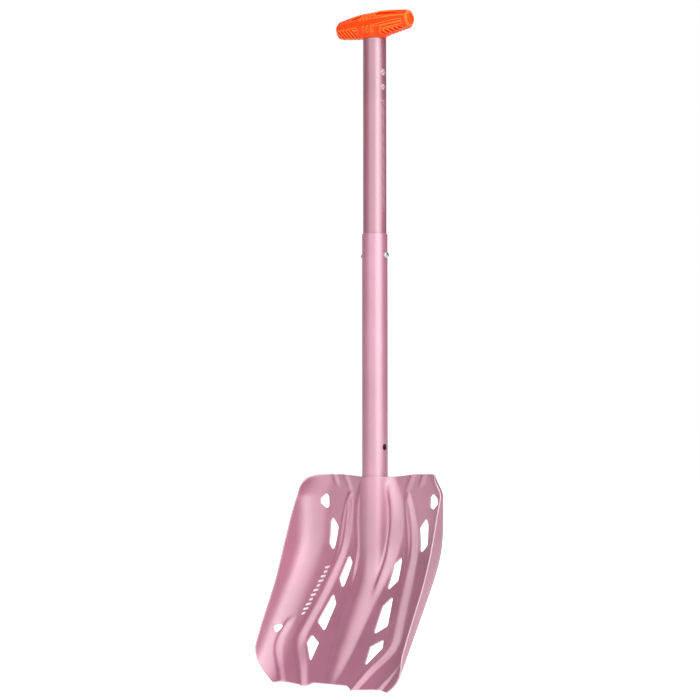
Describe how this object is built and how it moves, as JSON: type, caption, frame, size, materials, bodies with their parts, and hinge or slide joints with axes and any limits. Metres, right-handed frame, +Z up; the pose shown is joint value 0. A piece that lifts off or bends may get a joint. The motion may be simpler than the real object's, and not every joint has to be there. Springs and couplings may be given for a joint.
{
  "type": "avalanche shovel",
  "caption": "Avalanche shovel with a telescopic anodised shaft, T-grip, snap buttons and a detachable ribbed sheet blade with lightening holes.",
  "frame": {"origin": "on the shaft axis, level with the mouth of the blade's socket", "axes": "+Z up the shaft towards the grip, X across the blade's width and along the grip, -Y the scooping side of the blade"},
  "size_m": [0.2232, 0.1102, 0.7907],
  "materials": {
    "blade": "satin pink anodised sheet",
    "lower_tube": "satin pink anodised tube",
    "upper_tube": "satin pink anodised tube",
    "grip": "moulded orange plastic, slightly soft",
    "core": "moulded black plastic",
    "steel": "bright stainless steel"
  },
  "bodies": {
    "blade_body": {"blade": "blade", "socket_back": "blade"},
    "lower_shaft": {"lower_tube": "lower_tube"},
    "lock_button_body": {"lock_button": "steel", "lock_spring": "steel"},
    "upper_shaft": {"upper_tube": "upper_tube", "shaft_spring": "steel", "grip_core": "core", "grip_pin": "upper_tube", "grip_shell": "grip", "grip_cap_left": "grip", "grip_cap_right": "grip"},
    "left_button_body": {"button_left": "steel"},
    "right_button_body": {"button_right": "steel"}
  },
  "joints": [
    {"name": "shaft_release", "type": "slide", "parent": "blade_body", "child": "lower_shaft", "axis": [0, 0, 1], "range_m": [0, 0.092], "deforming": ["lock_button", "lock_spring"]},
    {"name": "lock_press", "type": "slide", "parent": "lower_shaft", "child": "lock_button_body", "axis": [0, -1, 0], "range_m": [0, 0.0055], "stiffness_N_per_m": 1200, "springref_m": -0.002},
    {"name": "shaft_slide", "type": "slide", "parent": "lower_shaft", "child": "upper_shaft", "axis": [0, 0, 1], "range_m": [-0.226, 0], "deforming": ["button_left", "button_right", "shaft_spring"]},
    {"name": "left_press", "type": "slide", "parent": "upper_shaft", "child": "left_button_body", "axis": [1, 0, 0], "range_m": [0, 0.0056], "stiffness_N_per_m": 1200, "springref_m": -0.002},
    {"name": "right_press", "type": "slide", "parent": "upper_shaft", "child": "right_button_body", "axis": [-1, 0, 0], "range_m": [0, 0.0056], "stiffness_N_per_m": 1200, "springref_m": -0.002}
  ]
}
